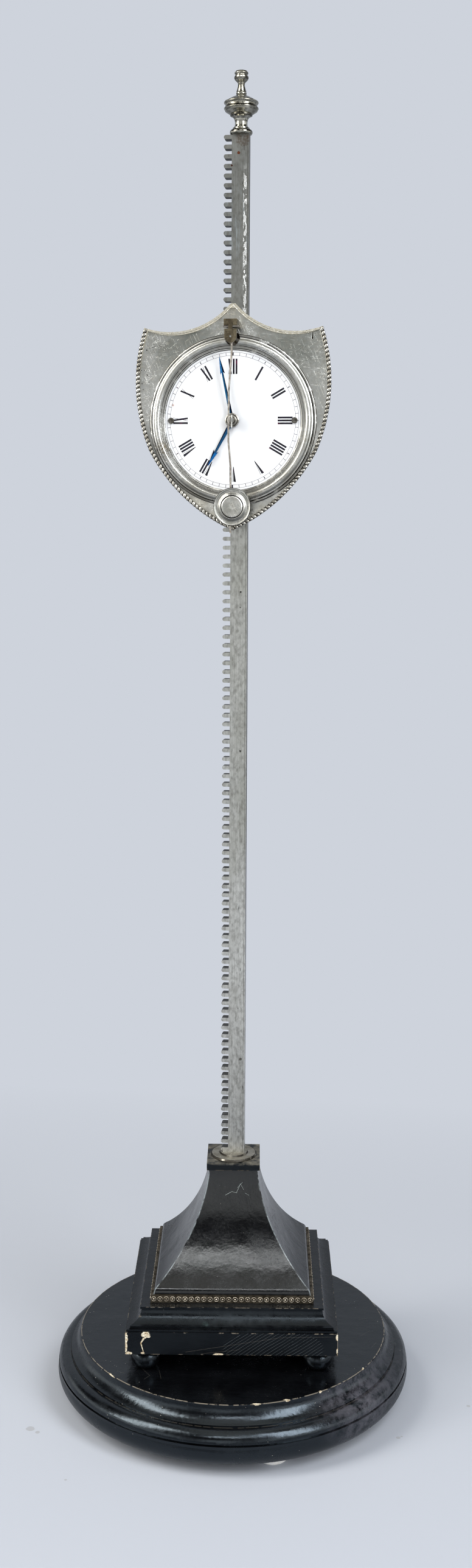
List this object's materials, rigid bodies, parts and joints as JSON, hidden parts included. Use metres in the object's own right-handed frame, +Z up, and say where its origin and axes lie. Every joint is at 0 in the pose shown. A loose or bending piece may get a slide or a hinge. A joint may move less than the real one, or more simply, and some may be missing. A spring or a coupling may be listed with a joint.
{
  "type": "rack clock",
  "caption": "Gravity clock whose round-dialled head sinks down an upright toothed rack on a stepped, hollow-sided pedestal; a short pendulum swings in front of the dial.",
  "frame": {"origin": "under the middle of the round base, on the surface that the clock stands on", "axes": "+Z up along the rack, the dial faces -Y, +X to the right of the dial"},
  "size_m": [0.1694, 0.1694, 0.6072],
  "materials": {
    "round_base": "ebonised, satin",
    "base_pads": "moulded",
    "ball_feet": "ebonised, satin",
    "foot_screws": "turned",
    "plinth_slab": "ebonised, satin",
    "plinth_moulding": "ebonised, satin",
    "beaded_strip": "pressed, aged",
    "pyramid": "ebonised, satin",
    "cap_block": "ebonised, worn",
    "collar": "turned, aged",
    "rack": "brushed, aged",
    "finial": "turned, aged",
    "shield": "aged nickel silver",
    "edge_rim": "aged nickel silver",
    "bezel": "spun, aged nickel silver",
    "dial": "fired enamel",
    "dial_screws": "slotted",
    "shield_screws": "slotted",
    "dial_posts": "turned",
    "front_plate": "sawn and brushed",
    "back_plate": "sawn and brushed",
    "pillars": "turned",
    "pillar_screws": "blued, slotted",
    "rear_bridge": "brushed",
    "bridge_screws": "blued, slotted",
    "rack_guides": "filed",
    "guide_screws": "blued, slotted",
    "guide_roller_upper": "turned",
    "guide_roller_lower": "turned",
    "roller_pins": "turned",
    "great_arbor": "turned, cut teeth",
    "great_wheel": "cut teeth",
    "click": "filed",
    "click_spring": "blued",
    "click_screws": "blued, slotted",
    "centre_arbor": "turned",
    "centre_wheel": "cut teeth",
    "third_arbor": "turned",
    "third_wheel": "cut teeth",
    "fourth_arbor": "turned",
    "fourth_wheel": "cut teeth",
    "escape_arbor": "turned",
    "escape_wheel": "cut teeth",
    "pallet_arbor": "turned",
    "pallets": "hardened, polished faces",
    "cannon_pinion": "turned",
    "minute_wheel": "cut teeth",
    "minute_post": "turned",
    "hour_wheel": "cut teeth",
    "hour_hand": "blued",
    "minute_hand": "blued",
    "hand_collet": "turned",
    "hand_pin": "drawn",
    "pendulum_rod": "drawn wire, aged",
    "pendulum_bob": "turned, aged",
    "pendulum_cock": "bronze, dark patina",
    "cock_leaf": "bronze, dark patina",
    "taper_pin": "drawn, aged",
    "cock_screw": "blued, slotted"
  },
  "bodies": {
    "stand": {"round_base": "round_base", "base_pads": "base_pads", "ball_feet": "ball_feet", "foot_screws": "foot_screws", "plinth_slab": "plinth_slab", "plinth_moulding": "plinth_moulding", "beaded_strip": "beaded_strip", "pyramid": "pyramid", "cap_block": "cap_block", "collar": "collar", "rack": "rack", "finial": "finial"},
    "head": {"shield": "shield", "edge_rim": "edge_rim", "bezel": "bezel", "dial": "dial", "dial_screws": "dial_screws", "shield_screws": "shield_screws", "dial_posts": "dial_posts", "front_plate": "front_plate", "back_plate": "back_plate", "pillars": "pillars", "pillar_screws": "pillar_screws", "rear_bridge": "rear_bridge", "bridge_screws": "bridge_screws", "rack_guides": "rack_guides", "guide_screws": "guide_screws", "roller_pins": "roller_pins", "minute_post": "minute_post", "pendulum_cock": "pendulum_cock", "cock_leaf": "cock_leaf", "taper_pin": "taper_pin", "cock_screw": "cock_screw"},
    "great_arbor_body": {"great_arbor": "great_arbor"},
    "great_wheel_body": {"great_wheel": "great_wheel", "click_spring": "click_spring", "click_screws": "click_screws"},
    "click_body": {"click": "click"},
    "centre_body": {"centre_arbor": "centre_arbor", "centre_wheel": "centre_wheel", "hand_collet": "hand_collet", "hand_pin": "hand_pin"},
    "third_body": {"third_arbor": "third_arbor", "third_wheel": "third_wheel"},
    "fourth_body": {"fourth_arbor": "fourth_arbor", "fourth_wheel": "fourth_wheel"},
    "escape_body": {"escape_arbor": "escape_arbor", "escape_wheel": "escape_wheel"},
    "pendulum_body": {"pallet_arbor": "pallet_arbor", "pallets": "pallets", "pendulum_rod": "pendulum_rod"},
    "bob_body": {"pendulum_bob": "pendulum_bob"},
    "cannon_body": {"cannon_pinion": "cannon_pinion", "minute_hand": "minute_hand"},
    "minute_wheel_body": {"minute_wheel": "minute_wheel"},
    "hour_body": {"hour_wheel": "hour_wheel", "hour_hand": "hour_hand"},
    "roller_upper_body": {"guide_roller_upper": "guide_roller_upper"},
    "roller_lower_body": {"guide_roller_lower": "guide_roller_lower"}
  },
  "joints": [
    {"name": "head_slide", "type": "slide", "parent": "stand", "child": "head", "axis": [0, 0, 1], "range_m": [-0.31, 0.087]},
    {"name": "escape_turn", "type": "hinge", "parent": "head", "child": "escape_body", "pos_m": [0.0014, -0.012, 0.48301], "axis": [0, 1, 0], "continuous": true},
    {"name": "great_arbor_turn", "type": "hinge", "parent": "head", "child": "great_arbor_body", "pos_m": [-0.01234, -0.005, 0.4498], "axis": [0, 1, 0], "continuous": true},
    {"name": "great_wheel_turn", "type": "hinge", "parent": "head", "child": "great_wheel_body", "pos_m": [-0.01234, -0.008, 0.4498], "axis": [0, 1, 0], "continuous": true},
    {"name": "centre_turn", "type": "hinge", "parent": "head", "child": "centre_body", "pos_m": [0.0014, -0.012, 0.458], "axis": [0, 1, 0], "continuous": true},
    {"name": "third_turn", "type": "hinge", "parent": "head", "child": "third_body", "pos_m": [0.01412, -0.012, 0.46385], "axis": [0, 1, 0], "continuous": true},
    {"name": "fourth_turn", "type": "hinge", "parent": "head", "child": "fourth_body", "pos_m": [0.00992, -0.014, 0.47573], "axis": [0, 1, 0], "continuous": true},
    {"name": "cannon_turn", "type": "hinge", "parent": "head", "child": "cannon_body", "pos_m": [0.0014, -0.022, 0.458], "axis": [0, 1, 0], "continuous": true},
    {"name": "minute_wheel_turn", "type": "hinge", "parent": "head", "child": "minute_wheel_body", "pos_m": [0.00734, -0.021, 0.45206], "axis": [0, 1, 0], "continuous": true},
    {"name": "hour_turn", "type": "hinge", "parent": "head", "child": "hour_body", "pos_m": [0.0014, -0.023, 0.458], "axis": [0, 1, 0], "continuous": true},
    {"name": "roller_upper_turn", "type": "hinge", "parent": "head", "child": "roller_upper_body", "pos_m": [0.0086, 0, 0.4578], "axis": [0, 1, 0], "continuous": true},
    {"name": "roller_lower_turn", "type": "hinge", "parent": "head", "child": "roller_lower_body", "pos_m": [0.0086, 0, 0.4418], "axis": [0, 1, 0], "continuous": true},
    {"name": "pendulum_swing", "type": "hinge", "parent": "head", "child": "pendulum_body", "pos_m": [0.0014, -0.0314, 0.4922], "axis": [0, 1, 0], "range_deg": [-7, 7]},
    {"name": "bob_slide", "type": "slide", "parent": "pendulum_body", "child": "bob_body", "axis": [0, 0, 1], "range_m": [-0.0015, 0.008]},
    {"name": "click_lift", "type": "hinge", "parent": "great_wheel_body", "child": "click_body", "pos_m": [-0.01961, -0.0099, 0.454], "axis": [0, -1, 0], "range_deg": [0, 12], "stiffness_Nm_per_rad": 0.002, "springref_deg": -11.46}
  ],
  "couplings": [
    {"joint": "great_arbor_turn", "follows": "head_slide", "rad_per_m": 130.9},
    {"joint": "great_wheel_turn", "follows": "head_slide", "rad_per_m": 130.9},
    {"joint": "centre_turn", "follows": "head_slide", "rad_per_m": -392.7},
    {"joint": "third_turn", "follows": "head_slide", "rad_per_m": 2356.2},
    {"joint": "fourth_turn", "follows": "head_slide", "rad_per_m": -14137},
    {"joint": "escape_turn", "follows": "head_slide", "rad_per_m": 84823},
    {"joint": "cannon_turn", "follows": "head_slide", "rad_per_m": -392.7},
    {"joint": "minute_wheel_turn", "follows": "head_slide", "rad_per_m": 130.9},
    {"joint": "hour_turn", "follows": "head_slide", "rad_per_m": -32.725},
    {"joint": "roller_upper_turn", "follows": "head_slide", "rad_per_m": -312.5},
    {"joint": "roller_lower_turn", "follows": "head_slide", "rad_per_m": -312.5}
  ]
}
